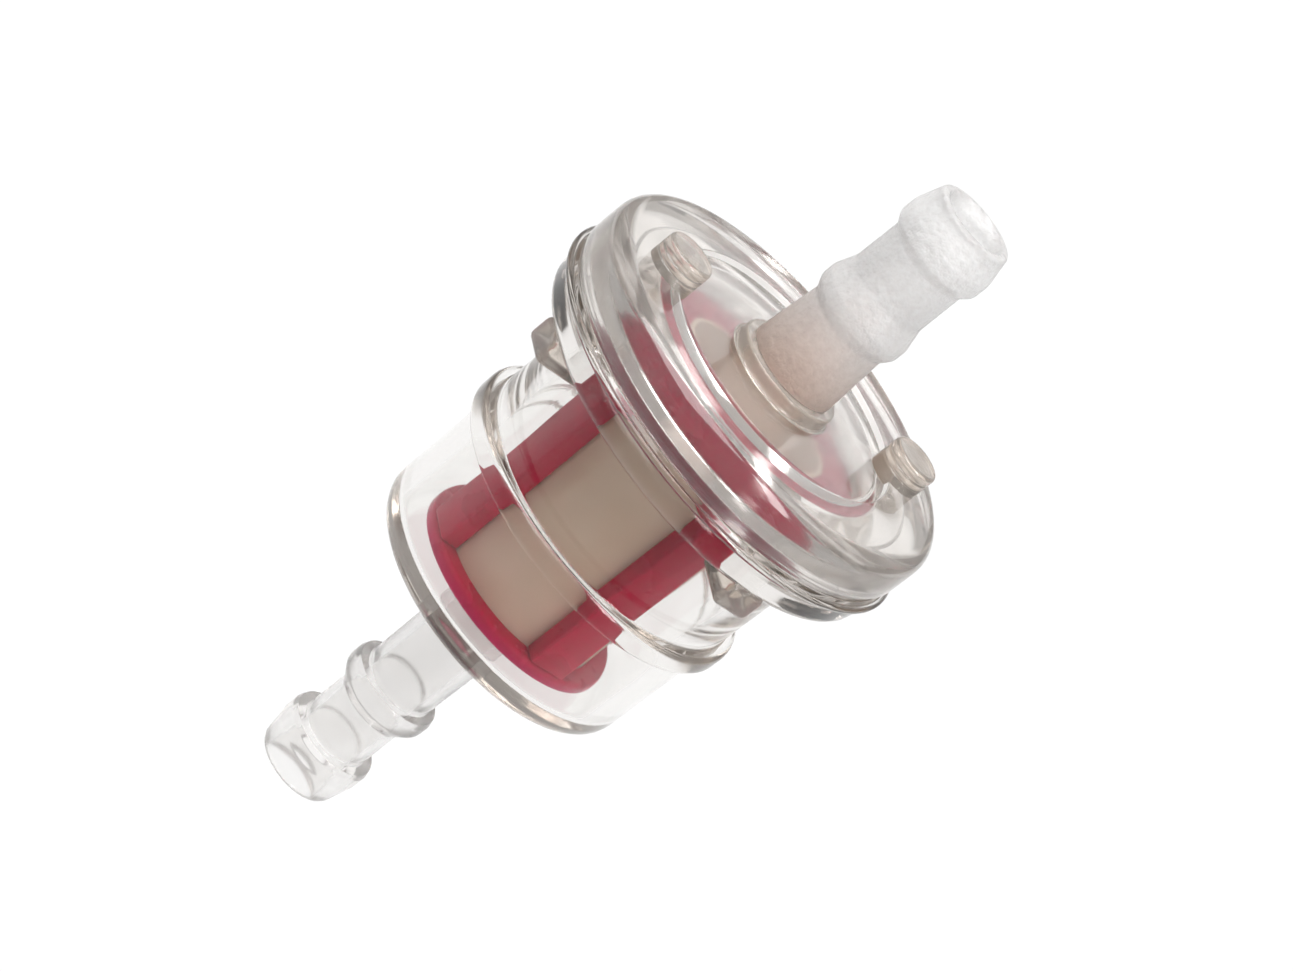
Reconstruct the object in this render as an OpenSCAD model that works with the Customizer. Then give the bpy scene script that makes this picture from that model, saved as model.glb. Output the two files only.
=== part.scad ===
// In-line fuel filter with a clear see-through housing and a red strainer cage.
// The axis of the filter is Z. The outlet nipple's tip is at the origin and the inlet points up.

/* [Hose nipples] */
// Radius of the fuel passage through both nipples
bore_r = 2.05; // [1.8:0.05:2.2]
// Radius of every hose barb's crest
barb_r = 3.5; // [3.3:0.05:3.7]
// Length of the cylindrical land on a barb's crest
barb_land = 1.0; // [0.8:0.1:1.2]
// Length of the outlet nipple, from its tip to the cup
outlet_len = 18.75; // [18:0.25:20]
// Length of the inlet nipple above the lid's hub
inlet_len = 15.2; // [14.6:0.1:17]

/* [Cup] */
// Outer radius of the cup at its bottom
cup_r_low = 10.6; // [10.4:0.05:10.8]
// Outer radius of the cup under its flange
cup_r_high = 10.85; // [10.8:0.05:11]
// Height of the cup, from its bottom to the joint with the lid
cup_h = 21.55; // [21:0.05:22]
// Wall thickness of the cup
cup_wall = 1.25; // [1:0.05:1.4]
// Radius of the bead ring around the cup
bead_r = 11.6; // [11.3:0.05:11.8]
// Radius of the cup's flange
flange_r = 14.3; // [14.1:0.05:14.4]

/* [Lid] */
// Outer radius of the lid
lid_r = 14.65; // [14.3:0.05:14.8]
// Height of the lid above its joint with the cup
lid_h = 3.9; // [3.6:0.1:4.5]
// Radius of the sunken disc around the inlet
disc_r = 9.6; // [9.2:0.1:10]
// Radius of the two moulded pegs on the lid
peg_r = 1.8; // [1.5:0.1:2]
// Distance of the pegs from the axis
peg_at = 10.3; // [10:0.1:10.8]

/* [Strainer] */
// Radius of the cage's clamped flange
cage_flange_r = 10.0; // [9.8:0.1:11]
// Outer radius of the cage's posts
post_r = 7.9; // [7.7:0.05:7.9]
// Width of each post
post_w = 2.8; // [2:0.1:3]
// Outer radius of the end cap
cap_r = 7.95; // [7.9:0.05:8.2]
// Thickness of the screen cloth's solid
screen_t = 0.3; // [0.2:0.05:0.4]

/* [Hidden] */
$fn = 96;

// Angles
post_count = 4;
lug_count = 4;
peg_angle = 76;
arc_steps = 6;

// Heights of the cup
cup_z = outlet_len;
joint_z = cup_z + cup_h;
cup_floor = 1.25;
cup_floor_z = cup_z + cup_floor;
cup_corner = 1.4;
bead_z = cup_z + 9.9;
bead_half = 0.8;
flange_t = 2.9;
flange_z = joint_z - flange_t;
flange_fillet = 0.5;
flange_round = 0.9;
inner_corner = 0.7;
outlet_tip_round = 1.1;

// The rim's lip and the raised land inside the joint
rim_r = 15.0;
lip_z = joint_z - 0.5;
lip_half = 0.25;
land_r = 12.2;
land_h = 0.4;
seat_z = joint_z + land_h;

// Lugs under the flange
lug_reach = 14.3;
lug_drop = 1.7;
lug_w = 2.9;
lug_round = 0.9;

// Heights and radii of the lid
lid_top = joint_z + lid_h;
lid_fillet = 1.2;
disc_z = lid_top - 0.4;
disc_step = 0.1;
joint_edge = 0.3;
hub_r = 4.0;
hub_z = lid_top + 0.6;
peg_z = lid_top + 1.9;
peg_edge = 0.25;
chamber_r = 9.3;
chamber_z = lid_top - 1.2;

// The inlet nipple's seat in the lid
seat_r = 2.95;
stem_root_r = 3.38;
stem_neck_r = 3.05;
inlet_tip = hub_z + inlet_len;
inlet_tip_round = 1.2;

// The cage
cage_flange_t = 1.2;
cage_flange_z = seat_z - cage_flange_t;
recess_gap = 0.05;
screen_r = 6.5;
cap_z = cup_floor_z + 0.7;
cap_floor = 0.6;
cap_h = 1.0;
cap_edge = 0.3;

// Points along an arc of radius r about [x, z], from angle a to angle b
function arc(x, z, r, a, b) =
    [for (i = [0 : arc_steps]) let (t = a + (b - a) * i / arc_steps) [x + r * cos(t), z + r * sin(t)]];

// One ring of points [radius, height] turned about Z
module turned(points) {
    rotate_extrude() polygon(points);
}

// A straight passage along Z
module passage(r, z0, z1) {
    translate([0, 0, z0]) cylinder(r = r, h = z1 - z0);
}

// Outline of the outlet nipple, from its rounded tip at height 0 up to height len.
// Each of its two barbs rises gently from the tip side and ends in a sharp shoulder on the far side.
function outlet_outline(len) = concat(
    [[bore_r - 0.5, 0], [barb_r - 0.9, 0]],
    arc(barb_r - outlet_tip_round, outlet_tip_round, outlet_tip_round, -70, -10),
    [[barb_r, 2.4], [barb_r, 2.4 + barb_land], [barb_r - 0.15, 3.8]],
    [[2.65, 3.9], [2.65, 7.5], [barb_r, 8.5], [barb_r, 8.5 + barb_land], [barb_r - 0.15, 9.8]],
    [[2.75, 9.9], [2.84, len + 0.5], [bore_r - 0.5, len + 0.5]]
);

// Cup: outlet nipple, wall, bead ring, flange and lugs in one moulding
module cup_outer() {
    turned(outlet_outline(cup_z));
    turned(concat(
        [[0, cup_z]],
        arc(cup_r_low - cup_corner, cup_z + cup_corner, cup_corner, -90, 0),
        arc(bead_r - bead_half, bead_z, bead_half, -90, 90),
        [[cup_r_high, flange_z - flange_fillet], [cup_r_high + flange_fillet, flange_z]],
        arc(flange_r - flange_round, flange_z + flange_round, flange_round, -90, 0),
        [[flange_r + 0.15, lip_z - lip_half]],
        [[rim_r - lip_half, lip_z - lip_half], [rim_r, lip_z], [rim_r - lip_half, lip_z + lip_half]],
        [[lid_r - 0.1, joint_z - joint_edge], [lid_r - joint_edge, joint_z]],
        [[land_r, joint_z], [land_r, seat_z], [0, seat_z]]
    ));
}

// One lug: a block between the cup's wall and the flange's underside, with a rounded outer corner
module lug() {
    rotate([90, 0, 0])
    linear_extrude(height = lug_w, center = true)
    polygon(concat(
        [[cup_r_low - 0.5, flange_z + flange_round], [cup_r_low - 0.5, flange_z - lug_drop]],
        arc(lug_reach - lug_round, flange_z - lug_drop + lug_round, lug_round, -90, 0),
        [[lug_reach, flange_z + flange_round]]
    ));
}

module cup_inner() {
    inner_low = cup_r_low - cup_wall;
    inner_high = cup_r_high - cup_wall;
    turned(concat(
        [[0, cup_floor_z]],
        arc(inner_low - inner_corner, cup_floor_z + inner_corner, inner_corner, -90, 0),
        [[inner_high, cage_flange_z + 0.1], [0, cage_flange_z + 0.1]]
    ));
    passage(cage_flange_r + recess_gap, cage_flange_z, seat_z + 1);
}

module cup() {
    color([0.86, 0.85, 0.83, 0.45])
    difference() {
        union() {
            cup_outer();
            for (i = [0 : lug_count - 1]) rotate([0, 0, i * 360 / lug_count]) lug();
        }
        cup_inner();
        passage(bore_r, -1, cup_floor_z + 1);
    }
}

// Lid: thick clear cap with a sunken disc, a hub for the inlet nipple and two pegs
module peg() {
    translate([peg_at, 0, 0])
    turned([
        [0, disc_z - 0.5], [peg_r, disc_z - 0.5], [peg_r, peg_z - peg_edge],
        [peg_r - peg_edge, peg_z], [0, peg_z]
    ]);
}

module lid_outer() {
    turned(concat(
        [[0, seat_z], [land_r + recess_gap, seat_z], [land_r + recess_gap, joint_z]],
        [[lid_r - joint_edge, joint_z], [lid_r, joint_z + 2 * joint_edge]],
        arc(lid_r - lid_fillet, lid_top - lid_fillet, lid_fillet, 0, 90),
        [[disc_r + disc_step, lid_top], [disc_r, disc_z], [hub_r + 0.3, disc_z]],
        [[hub_r, disc_z + 0.3], [hub_r, hub_z], [0, hub_z]]
    ));
}

module lid() {
    color([0.84, 0.82, 0.80, 0.45])
    difference() {
        union() {
            lid_outer();
            for (side = [0, 180]) rotate([0, 0, peg_angle + side]) peg();
        }
        turned([[0, joint_z - 1], [chamber_r, joint_z - 1], [chamber_r, chamber_z - 0.4],
            [chamber_r - 0.4, chamber_z], [0, chamber_z]]);
        passage(seat_r, chamber_z - 1, hub_z + 1);
    }
}

// Inlet nipple: frosted insert, seated in the lid's hub, with two soft barbs
module inlet_nipple() {
    color([0.88, 0.86, 0.85, 0.8])
    difference() {
        turned(concat(
            [[0, chamber_z], [seat_r, chamber_z], [seat_r, hub_z], [stem_root_r, hub_z]],
            [[stem_neck_r, hub_z + 4.8], [barb_r, hub_z + 5.5], [barb_r, hub_z + 5.5 + barb_land]],
            [[stem_neck_r, hub_z + 8.0], [stem_neck_r, hub_z + 11.4], [barb_r, hub_z + 12.1]],
            [[barb_r, hub_z + 12.1 + barb_land]],
            arc(barb_r - inlet_tip_round, inlet_tip - inlet_tip_round, inlet_tip_round, 30, 90),
            [[0, inlet_tip]]
        ));
        passage(bore_r, chamber_z - 1, inlet_tip + 1);
    }
}

// Cage: clamped flange and four posts in one moulding
module post() {
    intersection() {
        difference() {
            passage(post_r, cap_z + cap_h, cage_flange_z + 0.2);
            passage(screen_r, cap_z, cage_flange_z + 1);
        }
        translate([0, -post_w / 2, cap_z]) cube([post_r + 1, post_w, cage_flange_z + 1 - cap_z]);
    }
}

module cage() {
    color([0.66, 0.08, 0.20, 0.95])
    union() {
        difference() {
            passage(cage_flange_r, cage_flange_z, seat_z);
            passage(screen_r, cage_flange_z - 1, seat_z + 1);
        }
        for (i = [0 : post_count - 1]) rotate([0, 0, i * 360 / post_count]) post();
    }
}

// End cap: closes the bottom of the strainer, with a recess for the screen's foot
module end_cap() {
    color([0.72, 0.06, 0.33, 0.95])
    difference() {
        turned([
            [0, cap_z], [cap_r - cap_edge, cap_z], [cap_r, cap_z + cap_edge],
            [cap_r, cap_z + cap_h - cap_edge], [cap_r - cap_edge, cap_z + cap_h], [0, cap_z + cap_h]
        ]);
        passage(screen_r, cap_z + cap_floor, cap_z + cap_h + 1);
    }
}

// Screen: sleeve of fine cloth inside the posts, from the end cap to the top of the cage
module screen() {
    color([0.80, 0.75, 0.68])
    difference() {
        passage(screen_r, cap_z + cap_floor, seat_z);
        passage(screen_r - screen_t, cap_z, seat_z + 1);
    }
}

cup();
lid();
inlet_nipple();
cage();
end_cap();
screen();
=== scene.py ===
"""Looks of the in-line fuel filter: clear cup and lid, frosted inlet nipple, red strainer cage and screen.

The filter's axis is Z, with the outlet nipple's tip at the origin. Outlines and places are in millimetres.
"""

import math

import bmesh
import bpy
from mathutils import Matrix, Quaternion, Vector


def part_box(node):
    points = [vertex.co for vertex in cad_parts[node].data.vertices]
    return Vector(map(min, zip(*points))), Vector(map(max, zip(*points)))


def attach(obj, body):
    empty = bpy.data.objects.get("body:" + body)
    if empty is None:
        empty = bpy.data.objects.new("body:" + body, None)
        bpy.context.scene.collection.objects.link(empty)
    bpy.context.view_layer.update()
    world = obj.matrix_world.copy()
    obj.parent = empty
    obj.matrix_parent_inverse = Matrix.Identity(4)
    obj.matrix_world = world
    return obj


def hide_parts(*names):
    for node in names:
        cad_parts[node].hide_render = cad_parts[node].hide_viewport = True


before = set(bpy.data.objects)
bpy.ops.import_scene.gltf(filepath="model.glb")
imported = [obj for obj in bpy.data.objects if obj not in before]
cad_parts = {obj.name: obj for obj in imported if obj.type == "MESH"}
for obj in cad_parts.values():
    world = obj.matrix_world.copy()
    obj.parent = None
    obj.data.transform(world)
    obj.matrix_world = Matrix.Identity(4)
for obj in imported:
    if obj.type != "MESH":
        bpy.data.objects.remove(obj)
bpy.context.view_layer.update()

MM = 0.001
BODY = "root"
TURN = 2 * math.pi
SEGMENTS = 192
PEG_SEGMENTS = 64
ARC_STEPS = 6
BEVEL_STEPS = 4
EDGE_SHARE = 0.48
MERGE_WITHIN = 1e-5
SHARP_ANGLE = math.radians(32)
GAP = 0.03


# ---------------------------------------------------------------- places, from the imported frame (mm)
def span(node):
    """Lowest and highest corner of a CAD node, in millimetres."""
    low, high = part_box(node)
    return Vector(low) / MM, Vector(high) / MM


cap_low, cap_high = span("end_cap")
RIM_R = span("cup")[1].x
LID_R = span("lid")[1].x
PEG_Z = span("lid")[1].z
BARB_R = span("inlet_nipple")[1].x
TIP_Z = span("inlet_nipple")[1].z
CAP_Z = cap_low.z
CAP_TOP_Z = cap_high.z
CAP_R = cap_high.x

# ---------------------------------------------------------------- sizes that the frame doesn't give (mm)
# Joint between cup and lid, and the land inside it that the lid is welded to
JOINT_Z = 40.3
WELD_Z = 40.7
STEP_R = 12.2

# Outlet nipple, with the places where its barbs' crests begin and end
BORE_R = 2.05
OUTLET_TIP_R = 3.05
OUTLET_NECK_R = 2.65
OUTLET_ROOT_R = 2.84
SHOULDER_R = 3.35
FIRST_CREST = (2.4, 3.4)
SECOND_CREST = (8.5, 9.4)
SHOULDER_DROP = 0.4

# Cup
CUP_Z = 18.75
CUP_WALL = 1.25
CUP_FLOOR_Z = CUP_Z + CUP_WALL
CUP_LOW_R = 10.6
CUP_HIGH_R = 10.85
BEAD_Z = CUP_Z + 9.9
BEAD_R = 11.6
BEAD_HALF = 0.8
FLANGE_Z = 37.4
FLANGE_R = 14.3
LIP_Z = 39.8
LIP_EDGE = 0.25
LUG_COUNT = 4
LUG_REACH = 14.3
LUG_W = 2.9
LUG_DROP = 1.7

# Lid, its sunken disc, the hub round the inlet nipple, the hollow under the disc and the pegs
LID_TOP = JOINT_Z + 3.9
LID_ROUND = 1.2
DISC_R = 9.6
DISC_Z = LID_TOP - 0.4
HUB_R = 4.0
HUB_Z = LID_TOP + 0.6
CHAMBER_R = 9.3
CHAMBER_Z = LID_TOP - 1.2
SEAT_R = 2.95
PEG_R = 1.8
PEG_AT = 10.3
PEG_ANGLE = math.radians(76)
PEG_GROOVES = (LID_TOP + 0.65, LID_TOP + 1.15)
PEG_GROOVE_DEPTH = 0.1

# Inlet nipple: radii, and heights above its root of the places where its barbs rise, crest and fall
INLET_ROOT_R = 3.38
INLET_NECK_R = 3.06
INLET_MID_R = 3.03
INLET_LAST_R = 3.01
INLET_TIP_R = 2.95
INLET_FIRST = (4.8, 5.6, 6.5, 8.0)
INLET_SECOND = (11.4, 12.1, 13.2)
MOUTH_CHAMFER = (0.4, 0.7)

# Strainer
CAGE_R = 10.0
CAGE_FLANGE_Z = WELD_Z - 1.2
RECESS_GAP = 0.05
SCREEN_R = 6.5
SCREEN_T = 0.3
POST_COUNT = 4
POST_R = 7.9
POST_W = 2.8
CAP_FLOOR_Z = CAP_Z + 0.6


# ---------------------------------------------------------------- mesh tools
def rounded(outline, closed=True):
    """An outline of (radius, height, rounding) corners as points, with each rounded corner as an arc.

    An arc takes no more than EDGE_SHARE of the edges beside it, so that neighbouring arcs never meet.
    """
    count = len(outline)
    points = []
    for i, (radius, height, rounding) in enumerate(outline):
        corner = Vector((radius, height))
        ends = not closed and i in (0, count - 1)
        if not rounding or ends:
            points.append(corner)
            continue
        back = Vector(outline[i - 1][:2]) - corner
        ahead = Vector(outline[(i + 1) % count][:2]) - corner
        half = back.angle(ahead) / 2
        run = min(rounding / math.tan(half), EDGE_SHARE * back.length, EDGE_SHARE * ahead.length)
        start = corner + back.normalized() * run
        end = corner + ahead.normalized() * run
        centre = corner + (back.normalized() + ahead.normalized()).normalized() * run / math.cos(half)
        arm = start - centre
        sweep = arm.angle_signed(end - centre)
        for step in range(ARC_STEPS + 1):
            turn = -sweep * step / ARC_STEPS
            cos, sin = math.cos(turn), math.sin(turn)
            points.append(centre + Vector((arm.x * cos - arm.y * sin, arm.x * sin + arm.y * cos)))
    return points


def shaded(mesh):
    """Smooth shading that keeps the sharp edges."""
    mesh.shade_smooth()
    mesh.set_sharp_from_angle(angle=SHARP_ANGLE)


def new_object(name, bm, material, node=None):
    """Turns a bmesh in millimetres into an object, and with a node into the piece that replaces it."""
    bmesh.ops.scale(bm, vec=(MM, MM, MM), verts=bm.verts)
    bmesh.ops.recalc_face_normals(bm, faces=bm.faces)
    mesh = bpy.data.meshes.new(name)
    bm.to_mesh(mesh)
    bm.free()
    piece = bpy.data.objects.new(name, mesh)
    bpy.context.scene.collection.objects.link(piece)
    mesh.materials.append(material)
    shaded(mesh)
    if node:
        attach(piece, BODY)
        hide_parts(node)
    return piece


def turned(points, closed=True, segments=SEGMENTS):
    """A bmesh of an outline turned about the axis."""
    bm = bmesh.new()
    rings = []
    for i in range(segments):
        angle = TURN * i / segments
        cos, sin = math.cos(angle), math.sin(angle)
        rings.append([bm.verts.new((p.x * cos, p.x * sin, p.y)) for p in points])
    last = len(points) if closed else len(points) - 1
    for i in range(segments):
        here, there = rings[i], rings[(i + 1) % segments]
        for j in range(last):
            k = (j + 1) % len(points)
            bm.faces.new((here[j], there[j], there[k], here[k]))
    bmesh.ops.remove_doubles(bm, verts=bm.verts, dist=MERGE_WITHIN)
    return bm


def block(low, high, rounding, angle):
    """A block with rounded edges between two corners, turned about the axis by angle."""
    bm = bmesh.new()
    bmesh.ops.create_cube(bm, size=1)
    size = Vector(high) - Vector(low)
    middle = (Vector(high) + Vector(low)) / 2
    for v in bm.verts:
        v.co = Vector((v.co.x * size.x, v.co.y * size.y, v.co.z * size.z)) + middle
    bmesh.ops.bevel(bm, geom=bm.edges[:], offset=rounding, segments=BEVEL_STEPS, affect="EDGES", profile=0.5)
    for v in bm.verts:
        x, y = v.co.x, v.co.y
        v.co.x = x * math.cos(angle) - y * math.sin(angle)
        v.co.y = x * math.sin(angle) + y * math.cos(angle)
    return bm


def joined(target, others):
    """Joins other objects into target with exact booleans, and removes them."""
    for other in others:
        union = target.modifiers.new("joined", "BOOLEAN")
        union.operation = "UNION"
        union.solver = "EXACT"
        union.material_mode = "TRANSFER"
        union.object = other
    shown = target.evaluated_get(bpy.context.evaluated_depsgraph_get())
    mesh = bpy.data.meshes.new_from_object(shown)
    target.modifiers.clear()
    target.data = mesh
    shaded(mesh)
    for other in others:
        bpy.data.objects.remove(other)


def repainted(piece, other, chosen):
    """Gives another material to the faces whose radius and height, in millimetres, are chosen."""
    slot = piece.data.materials.find(other.name)
    if slot < 0:
        piece.data.materials.append(other)
        slot = len(piece.data.materials) - 1
    for face in piece.data.polygons:
        place = face.center / MM
        if chosen(math.hypot(place.x, place.y), place.z):
            face.material_index = slot


# ---------------------------------------------------------------- material tools
ABSORBED_TO = (0.62, 0.55, 0.48)


def material(name):
    """A new node material, with its tree, its Principled shader and its texture coordinates."""
    made = bpy.data.materials.new(name)
    made.use_nodes = True
    tree = made.node_tree
    shader = tree.nodes["Principled BSDF"]
    place = tree.nodes.new("ShaderNodeTexCoord")
    return made, tree, shader, place


def noise(tree, place, scale, detail=2.0, roughness=0.5):
    """Noise over the object, with scale in features a metre."""
    texture = tree.nodes.new("ShaderNodeTexNoise")
    texture.inputs["Scale"].default_value = scale
    texture.inputs["Detail"].default_value = detail
    texture.inputs["Roughness"].default_value = roughness
    tree.links.new(place.outputs["Object"], texture.inputs["Vector"])
    return texture


def ramp(tree, source, stops):
    """A colour ramp through (position, colour) stops, where a single number is a grey."""
    node = tree.nodes.new("ShaderNodeValToRGB")
    elements = node.color_ramp.elements
    for element, (position, colour) in zip(elements, stops):
        element.position = position
        element.color = (*(colour if isinstance(colour, tuple) else (colour,) * 3), 1)
    tree.links.new(source, node.inputs["Fac"])
    return node


def bump(tree, shader, height, strength, distance):
    """Bump on a shader's normal, with distance in metres."""
    node = tree.nodes.new("ShaderNodeBump")
    node.inputs["Strength"].default_value = strength
    node.inputs["Distance"].default_value = distance
    tree.links.new(height, node.inputs["Height"])
    tree.links.new(node.outputs["Normal"], shader.inputs["Normal"])


def absorb(tree, density):
    """Absorption inside a clear piece, so that thick stretches look darker and warmer."""
    volume = tree.nodes.new("ShaderNodeVolumeAbsorption")
    volume.inputs["Color"].default_value = (*ABSORBED_TO, 1)
    volume.inputs["Density"].default_value = density
    tree.links.new(volume.outputs["Volume"], tree.nodes["Material Output"].inputs["Volume"])


def along_axis(tree, place, low, high, stops):
    """A colour ramp from a height low to a height high, in millimetres."""
    split = tree.nodes.new("ShaderNodeSeparateXYZ")
    tree.links.new(place.outputs["Object"], split.inputs["Vector"])
    reach = tree.nodes.new("ShaderNodeMapRange")
    reach.inputs["From Min"].default_value = low * MM
    reach.inputs["From Max"].default_value = high * MM
    tree.links.new(split.outputs["Z"], reach.inputs["Value"])
    return ramp(tree, reach.outputs["Result"], stops)


def multiplied(tree, first, second):
    """The product of two colours."""
    mix = tree.nodes.new("ShaderNodeMix")
    mix.data_type = "RGBA"
    mix.blend_type = "MULTIPLY"
    mix.inputs["Factor"].default_value = 1
    tree.links.new(first, mix.inputs["A"])
    tree.links.new(second, mix.inputs["B"])
    return mix.outputs["Result"]


# ---------------------------------------------------------------- materials
def clear_plastic(name, tints, density, clarity, gloss, waviness, ior):
    """Moulded clear plastic: glossy, faintly wavy, with a slight warm tint where it is thick."""
    made, tree, shader, place = material(name)
    shader.inputs["Transmission Weight"].default_value = clarity
    shader.inputs["IOR"].default_value = ior
    shader.inputs["Specular IOR Level"].default_value = 0.3
    haze = noise(tree, place, scale=260, detail=3)
    tint = ramp(tree, haze.outputs["Fac"], [(0.3, tints[0]), (0.7, tints[1])])
    tree.links.new(tint.outputs["Color"], shader.inputs["Base Color"])
    rough = ramp(tree, haze.outputs["Fac"], [(0.35, gloss[0]), (0.75, gloss[1])])
    tree.links.new(rough.outputs["Color"], shader.inputs["Roughness"])
    flow = noise(tree, place, scale=180, detail=1)
    bump(tree, shader, flow.outputs["Fac"], strength=waviness, distance=0.0004)
    absorb(tree, density)
    return made


def frosted_plastic(name):
    """The inlet nipple's fine sand texture, on a translucent plastic that is warmer near the lid."""
    made, tree, shader, place = material(name)
    shader.inputs["Transmission Weight"].default_value = 0.78
    shader.inputs["IOR"].default_value = 1.49
    grain = noise(tree, place, scale=1900, roughness=0.6)
    speckle = ramp(tree, grain.outputs["Fac"], [(0.35, (0.90, 0.89, 0.885)), (0.62, (1.0, 0.998, 0.995))])
    warmth = along_axis(tree, place, HUB_Z, HUB_Z + 6, [(0.0, (0.93, 0.79, 0.71)), (1.0, 1.0)])
    tint = multiplied(tree, speckle.outputs["Color"], warmth.outputs["Color"])
    tree.links.new(tint, shader.inputs["Base Color"])
    rough = ramp(tree, grain.outputs["Fac"], [(0.3, 0.32), (0.7, 0.48)])
    tree.links.new(rough.outputs["Color"], shader.inputs["Roughness"])
    bump(tree, shader, grain.outputs["Fac"], strength=0.6, distance=0.00025)
    return made


def red_plastic(name, foot, body, low, high):
    """Translucent red moulding in soft patches, ramped from foot at height low to body at height high; on
    the cage the darker body is painted shade on the flange clamped in the joint.
    """
    made, tree, shader, place = material(name)
    shader.inputs["Transmission Weight"].default_value = 0.08
    shader.inputs["IOR"].default_value = 1.5
    shader.inputs["Specular IOR Level"].default_value = 0.08
    patches = noise(tree, place, scale=220, detail=3, roughness=0.55)
    shade = ramp(tree, patches.outputs["Fac"], [(0.3, 0.84), (0.7, 1.0)])
    height = along_axis(tree, place, low, high, [(0.1, foot), (1.0, body)])
    tint = multiplied(tree, height.outputs["Color"], shade.outputs["Color"])
    tree.links.new(tint, shader.inputs["Base Color"])
    rough = ramp(tree, patches.outputs["Fac"], [(0.3, 0.22), (0.7, 0.34)])
    tree.links.new(rough.outputs["Color"], shader.inputs["Roughness"])
    flow = noise(tree, place, scale=900)
    bump(tree, shader, flow.outputs["Fac"], strength=0.15, distance=0.0001)
    return made


def screen_cloth(name):
    """Fine beige screen cloth, faintly stained, with threads about a fifth of a millimetre apart."""
    made, tree, shader, place = material(name)
    shader.inputs["Roughness"].default_value = 0.7
    shader.inputs["Sheen Weight"].default_value = 0.2
    shader.inputs["Alpha"].default_value = 0.6
    stains = noise(tree, place, scale=140, detail=3)
    tint = ramp(tree, stains.outputs["Fac"], [(0.3, (0.86, 0.67, 0.50)), (0.7, (0.95, 0.79, 0.63))])
    tree.links.new(tint.outputs["Color"], shader.inputs["Base Color"])
    threads = noise(tree, place, scale=5000, detail=1)
    bump(tree, shader, threads.outputs["Fac"], strength=0.3, distance=0.00005)
    return made


CLEAR = clear_plastic(
    "clear_shell",
    tints=[(0.93, 0.925, 0.915), (0.97, 0.967, 0.96)],
    density=42,
    clarity=1.0,
    gloss=(0.03, 0.07),
    waviness=0.10,
    ior=1.44,
)
CLEAR_LID = clear_plastic(
    "clear_lid",
    tints=[(0.93, 0.915, 0.90), (0.97, 0.96, 0.95)],
    density=34,
    clarity=0.975,
    gloss=(0.08, 0.14),
    waviness=0.10,
    ior=1.49,
)
NIPPLE = clear_plastic(
    "nipple_shell",
    tints=[(0.93, 0.92, 0.91), (0.975, 0.97, 0.965)],
    density=30,
    clarity=0.92,
    gloss=(0.10, 0.17),
    waviness=0.15,
    ior=1.49,
)
HAZY = clear_plastic(
    "hazy_shell",
    tints=[(0.94, 0.85, 0.76), (0.98, 0.92, 0.86)],
    density=20,
    clarity=0.84,
    gloss=(0.12, 0.2),
    waviness=0.2,
    ior=1.47,
)
FROSTED = frosted_plastic("frosted_plastic")
RED = red_plastic(
    "red_cage",
    foot=(0.62, 0.0, 0.045),
    # Painted shade: the flange clamped between cup and lid, and the posts' tops, are painted darker than the
    # posts below
    body=(0.36, 0.0, 0.035),
    low=CAGE_FLANGE_Z - 1,
    high=CAGE_FLANGE_Z,
)
MAGENTA = red_plastic(
    "magenta_cap",
    foot=(0.70, 0.0, 0.12),
    body=(0.64, 0.0, 0.05),
    low=CAP_Z,
    high=CAP_TOP_Z,
)
CLOTH = screen_cloth("screen_cloth")


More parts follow.
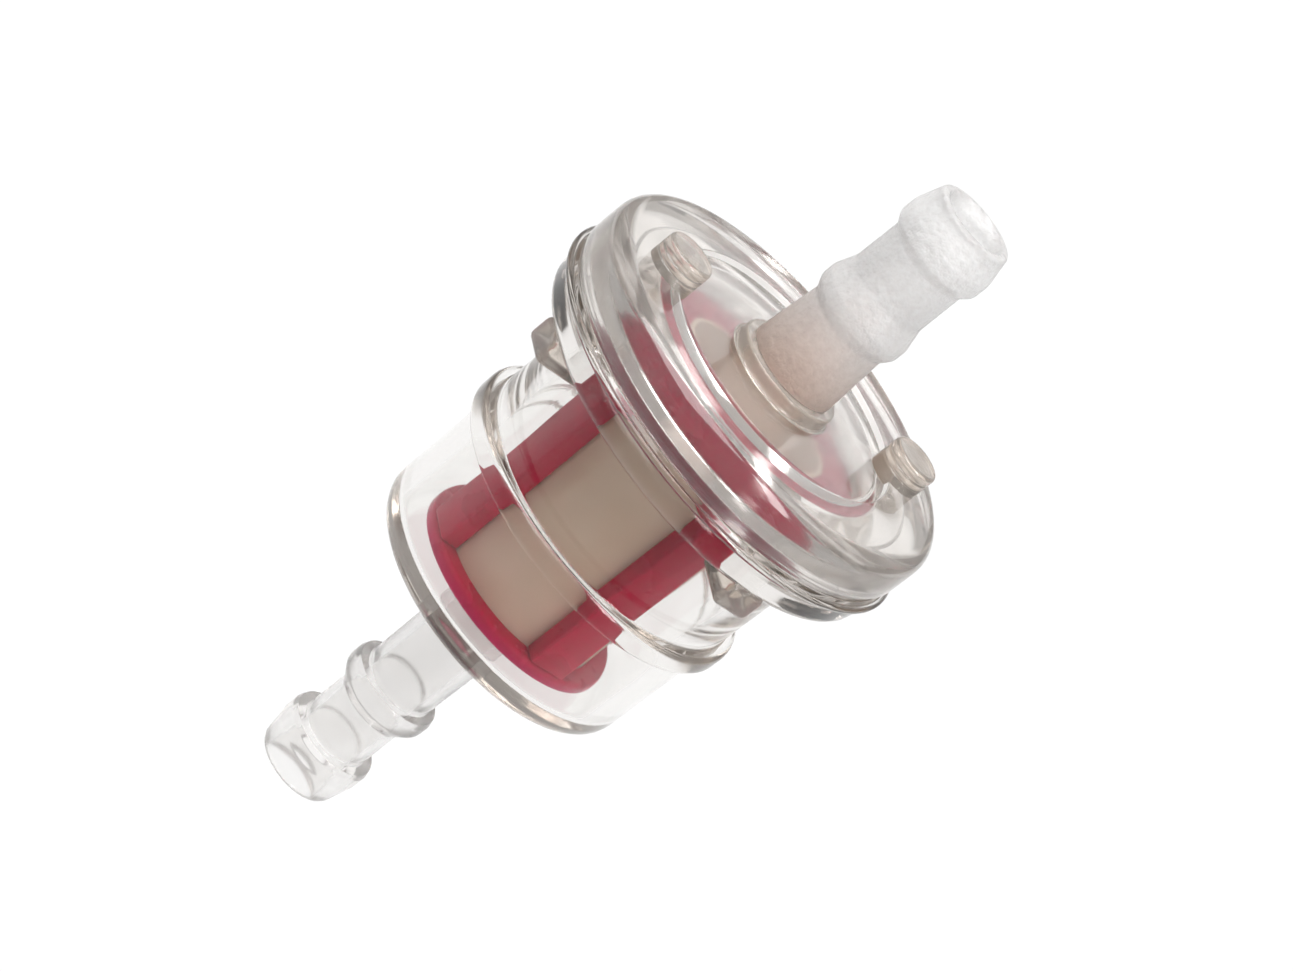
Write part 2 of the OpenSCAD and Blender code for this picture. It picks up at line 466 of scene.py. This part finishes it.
# ---------------------------------------------------------------- pieces
def make_cup():
    """Cup with its outlet nipple, bead ring, flange and lugs, hollow all through."""
    inner_low = CUP_LOW_R - CUP_WALL
    inner_high = CUP_HIGH_R - CUP_WALL
    outline = [
        (BORE_R, 0, 0.3),
        (OUTLET_TIP_R, 0, 0.9),
        (BARB_R, FIRST_CREST[0], 1.3),
        (BARB_R, FIRST_CREST[1], 0.4),
        (SHOULDER_R, FIRST_CREST[1] + SHOULDER_DROP, 0.06),
        (OUTLET_NECK_R, FIRST_CREST[1] + SHOULDER_DROP + 0.1, 0.12),
        (OUTLET_NECK_R, SECOND_CREST[0] - 1.1, 0.9),
        (BARB_R, SECOND_CREST[0], 0.9),
        (BARB_R, SECOND_CREST[1], 0.4),
        (SHOULDER_R, SECOND_CREST[1] + SHOULDER_DROP, 0.06),
        (OUTLET_ROOT_R - 0.1, SECOND_CREST[1] + SHOULDER_DROP + 0.1, 0.12),
        (OUTLET_ROOT_R, CUP_Z, 0.25),
        (CUP_LOW_R, CUP_Z, 1.4),
        (CUP_LOW_R + 0.12, BEAD_Z - BEAD_HALF - 0.05, 0.15),
        (BEAD_R, BEAD_Z - BEAD_HALF, 0.75),
        (BEAD_R, BEAD_Z + BEAD_HALF, 0.75),
        (CUP_LOW_R + 0.14, BEAD_Z + BEAD_HALF + 0.05, 0.15),
        (CUP_HIGH_R, FLANGE_Z, 0.4),
        (FLANGE_R, FLANGE_Z, 0.9),
        (FLANGE_R + 0.15, LIP_Z - 0.35, 0.08),
        (RIM_R - LIP_EDGE, LIP_Z - 0.3, 0.2),
        (RIM_R, LIP_Z, 0.35),
        (RIM_R - LIP_EDGE, LIP_Z + LIP_EDGE, 0.2),
        (LID_R - 0.1, JOINT_Z - 0.3, 0.1),
        (LID_R - 0.3, JOINT_Z, 0.2),
        (STEP_R - RECESS_GAP, JOINT_Z, 0.1),
        (STEP_R - RECESS_GAP, WELD_Z, 0.1),
        (CAGE_R + RECESS_GAP, WELD_Z, 0.1),
        (CAGE_R + RECESS_GAP, CAGE_FLANGE_Z, 0.2),
        (inner_high, CAGE_FLANGE_Z, 0.2),
        (inner_low, CUP_FLOOR_Z, 0.8),
        (BORE_R, CUP_FLOOR_Z, 0.2),
    ]
    cup = new_object("cup_shell", turned(rounded(outline)), CLEAR, "cup")
    lugs = []
    for i in range(LUG_COUNT):
        low = (CUP_HIGH_R - 0.6, -LUG_W / 2, FLANGE_Z - LUG_DROP)
        high = (LUG_REACH, LUG_W / 2, FLANGE_Z + 0.4)
        lug = block(low, high, 0.5, TURN * i / LUG_COUNT)
        lugs.append(new_object(f"lug_{i}", lug, HAZY))
    joined(cup, lugs)
    repainted(cup, NIPPLE, lambda radius, height: height < CUP_Z - 0.1 or radius < BORE_R + 0.3)


def peg_outline():
    """Outline of a peg with two shallow grooves round it."""
    outline = [(0, DISC_Z - 0.6, 0), (PEG_R, DISC_Z - 0.6, 0)]
    for groove in PEG_GROOVES:
        outline.append((PEG_R, groove - 0.1, 0.05))
        outline.append((PEG_R - PEG_GROOVE_DEPTH, groove, 0.03))
        outline.append((PEG_R, groove + 0.1, 0.05))
    return outline + [(PEG_R, PEG_Z, 0.3), (0, PEG_Z, 0)]


def make_lid():
    """Thick lid with a sunken disc, a hub round the inlet nipple and two pegs."""
    low = WELD_Z + GAP
    outline = [
        (CHAMBER_R, low, 0.15),
        (STEP_R, low, 0.1),
        (STEP_R, JOINT_Z + GAP, 0.1),
        (LID_R - 0.3, JOINT_Z + GAP, 0.2),
        (LID_R, JOINT_Z + 0.6, 0.6),
        (LID_R, LID_TOP, LID_ROUND),
        (DISC_R + 0.08, LID_TOP, 0.1),
        (DISC_R, DISC_Z, 0.05),
        (HUB_R, DISC_Z, 0.3),
        (HUB_R, HUB_Z - GAP, 0.2),
        (SEAT_R + GAP, HUB_Z - GAP, 0.05),
        (SEAT_R + GAP, CHAMBER_Z, 0.05),
        (CHAMBER_R, CHAMBER_Z, 0.4),
    ]
    lid = new_object("lid_shell", turned(rounded(outline)), CLEAR_LID, "lid")
    pegs = []
    for side in (0, 1):
        bm = turned(rounded(peg_outline(), closed=False), closed=False, segments=PEG_SEGMENTS)
        angle = PEG_ANGLE + side * math.pi
        place = (PEG_AT * math.cos(angle), PEG_AT * math.sin(angle), 0)
        bmesh.ops.translate(bm, vec=place, verts=bm.verts)
        pegs.append(new_object(f"peg_{side}", bm, HAZY))
    joined(lid, pegs)
    repainted(lid, HAZY, lambda radius, height: radius < HUB_R + 0.4 and height > DISC_Z - 0.05)


def make_inlet_nipple():
    """Frosted nipple with two soft barbs and an open mouth."""
    rise, crest, fall, neck = (HUB_Z + height for height in INLET_FIRST)
    rise_2, crest_2, fall_2 = (HUB_Z + height for height in INLET_SECOND)
    outline = [
        (BORE_R, CHAMBER_Z, 0.1),
        (SEAT_R, CHAMBER_Z, 0.1),
        (SEAT_R, HUB_Z, 0.05),
        (INLET_ROOT_R, HUB_Z, 0.1),
        (INLET_NECK_R, rise, 0.5),
        (BARB_R, crest, 0.7),
        (BARB_R, fall, 1.0),
        (INLET_MID_R, neck, 1.2),
        (INLET_LAST_R, rise_2, 0.4),
        (BARB_R, crest_2, 0.7),
        (BARB_R, fall_2, 1.5),
        (INLET_TIP_R, TIP_Z, 0.9),
        (BORE_R + MOUTH_CHAMFER[0], TIP_Z, 0.15),
        (BORE_R, TIP_Z - MOUTH_CHAMFER[1], 0.4),
    ]
    new_object("inlet_nipple_insert", turned(rounded(outline)), FROSTED, "inlet_nipple")


def make_cage():
    """Clamped flange with four posts."""
    inner = SCREEN_R + GAP
    outline = [
        (inner, CAGE_FLANGE_Z + GAP, 0.1),
        (CAGE_R, CAGE_FLANGE_Z + GAP, 0.1),
        (CAGE_R, WELD_Z - GAP, 0.1),
        (inner, WELD_Z - GAP, 0.1),
    ]
    cage = new_object("cage_moulding", turned(rounded(outline)), RED, "cage")
    posts = []
    for i in range(POST_COUNT):
        low = (inner, -POST_W / 2, CAP_TOP_Z + GAP)
        high = (POST_R, POST_W / 2, CAGE_FLANGE_Z + 0.4)
        posts.append(new_object(f"post_{i}", block(low, high, 0.2, TURN * i / POST_COUNT), RED))
    joined(cage, posts)


def make_end_cap():
    """Cap under the strainer, with a rim round the posts' feet."""
    outline = [
        (0, CAP_Z, 0),
        (CAP_R, CAP_Z, 0.35),
        (CAP_R, CAP_TOP_Z, 0.35),
        (SCREEN_R + GAP, CAP_TOP_Z, 0.15),
        (SCREEN_R + GAP, CAP_FLOOR_Z, 0.1),
        (0, CAP_FLOOR_Z, 0),
    ]
    cap = turned(rounded(outline, closed=False), closed=False)
    new_object("end_cap_moulding", cap, MAGENTA, "end_cap")


def make_screen():
    """Sleeve of screen cloth inside the posts."""
    inner = SCREEN_R - SCREEN_T
    foot = CAP_FLOOR_Z + GAP
    top = WELD_Z - GAP
    outline = [
        (SCREEN_R, foot, 0),
        (SCREEN_R, top, 0),
        (inner, top, 0),
        (inner, foot, 0),
    ]
    sleeve = new_object("screen_sleeve", turned(rounded(outline)), CLOTH, "screen")


# ---------------------------------------------------------------- stage, light and camera (m)
FLOOR_SIZE = 3
FLOOR_Z = -0.03
# Painted light on the floor: its emission is full up to the first distance towards the camera's side, and
# falls off to a dimmer painted grey from the second
FLOOR_PAINTED_POOL_TO = 0.01
FLOOR_PAINTED_DIM_FROM = 0.11
FLOOR_PAINTED_DIM = 0.35
CAMERA_TARGET = Vector((0, 0, 0.03224))
CAMERA_DISTANCE = 0.2574
CAMERA_AZIMUTH = 50.5
CAMERA_ELEVATION = 22.6
CAMERA_ROLL = 51.47
CAMERA_LENS = 113.2
CAMERA_SENSOR = 36
BOUNCES = 24


def direction(azimuth, elevation):
    """The way towards an azimuth and an elevation, in degrees."""
    a, e = math.radians(azimuth), math.radians(elevation)
    return Vector((math.sin(a) * math.cos(e), -math.cos(a) * math.cos(e), math.sin(e)))


def make_floor():
    """A plain pale floor that glows like a light table, as painted light: its emission is a painted pool of
    light behind the filter that falls off to a painted grey towards the front, the side the camera looks
    from.
    """
    bpy.ops.mesh.primitive_plane_add(size=FLOOR_SIZE, location=(0, 0, FLOOR_Z))
    floor = bpy.context.object
    floor.name = "floor"
    made, tree, shader, place = material("floor_painted_glow")
    shader.inputs["Base Color"].default_value = (0.02, 0.02, 0.02, 1)
    shader.inputs["Roughness"].default_value = 0.9
    shader.inputs["Specular IOR Level"].default_value = 0.0
    shader.inputs["Emission Color"].default_value = (1, 1, 1, 1)
    towards = tree.nodes.new("ShaderNodeVectorMath")
    towards.operation = "DOT_PRODUCT"
    towards.inputs[1].default_value = direction(CAMERA_AZIMUTH, 0)
    tree.links.new(place.outputs["Object"], towards.inputs[0])
    # Painted light: the floor's emission is full behind the filter and painted down to grey towards the
    # camera's side
    painted_glow = tree.nodes.new("ShaderNodeMapRange")
    painted_glow.interpolation_type = "SMOOTHSTEP"
    painted_glow.inputs["From Min"].default_value = FLOOR_PAINTED_POOL_TO
    painted_glow.inputs["From Max"].default_value = FLOOR_PAINTED_DIM_FROM
    painted_glow.inputs["To Min"].default_value = 1.0
    painted_glow.inputs["To Max"].default_value = FLOOR_PAINTED_DIM
    tree.links.new(towards.outputs["Value"], painted_glow.inputs["Value"])
    tree.links.new(painted_glow.outputs["Result"], shader.inputs["Emission Strength"])
    floor.data.materials.append(made)


def make_world():
    """An even, slightly warm grey studio."""
    world = bpy.data.worlds.new("studio")
    world.use_nodes = True
    sky = world.node_tree.nodes["Background"]
    sky.inputs["Color"].default_value = (0.42, 0.41, 0.40, 1)
    sky.inputs["Strength"].default_value = 1.0
    bpy.context.scene.world = world


def add_softbox(name, azimuth, elevation, distance, width, height, watts):
    """An area light aimed at the filter, placed by azimuth, elevation and distance from its middle."""
    light = bpy.data.lights.new(name, "AREA")
    light.shape = "RECTANGLE"
    light.size = width
    light.size_y = height
    light.energy = watts
    lamp = bpy.data.objects.new(name, light)
    bpy.context.scene.collection.objects.link(lamp)
    away = direction(azimuth, elevation)
    lamp.location = CAMERA_TARGET + away * distance
    lamp.rotation_mode = "QUATERNION"
    lamp.rotation_quaternion = away.to_track_quat("Z", "Y")


def make_camera():
    """The camera at the photograph's viewing angle, rolled so that the filter lies on its side."""
    camera = bpy.data.cameras.new("camera")
    camera.sensor_width = CAMERA_SENSOR
    camera.lens = CAMERA_LENS
    camera.clip_start = 0.01
    holder = bpy.data.objects.new("camera", camera)
    bpy.context.scene.collection.objects.link(holder)
    back = direction(CAMERA_AZIMUTH, CAMERA_ELEVATION)
    holder.location = CAMERA_TARGET + back * CAMERA_DISTANCE
    holder.rotation_mode = "QUATERNION"
    level = (-back).to_track_quat("-Z", "Y")
    holder.rotation_quaternion = level @ Quaternion((0, 0, 1), math.radians(CAMERA_ROLL))
    bpy.context.scene.camera = holder


make_camera()
make_floor()
make_world()
add_softbox("key", azimuth=0, elevation=66, distance=0.9, width=0.8, height=0.8, watts=14.0)
add_softbox("side", azimuth=100, elevation=35, distance=0.7, width=0.15, height=0.6, watts=3.5)
add_softbox("back", azimuth=230.5, elevation=27, distance=0.7, width=0.5, height=0.25, watts=0.3)
make_cup()
make_lid()
make_inlet_nipple()
make_cage()
make_end_cap()
make_screen()

scene = bpy.context.scene
scene.view_settings.view_transform = "Standard"
scene.cycles.max_bounces = BOUNCES
scene.cycles.transmission_bounces = BOUNCES
scene.cycles.glossy_bounces = BOUNCES
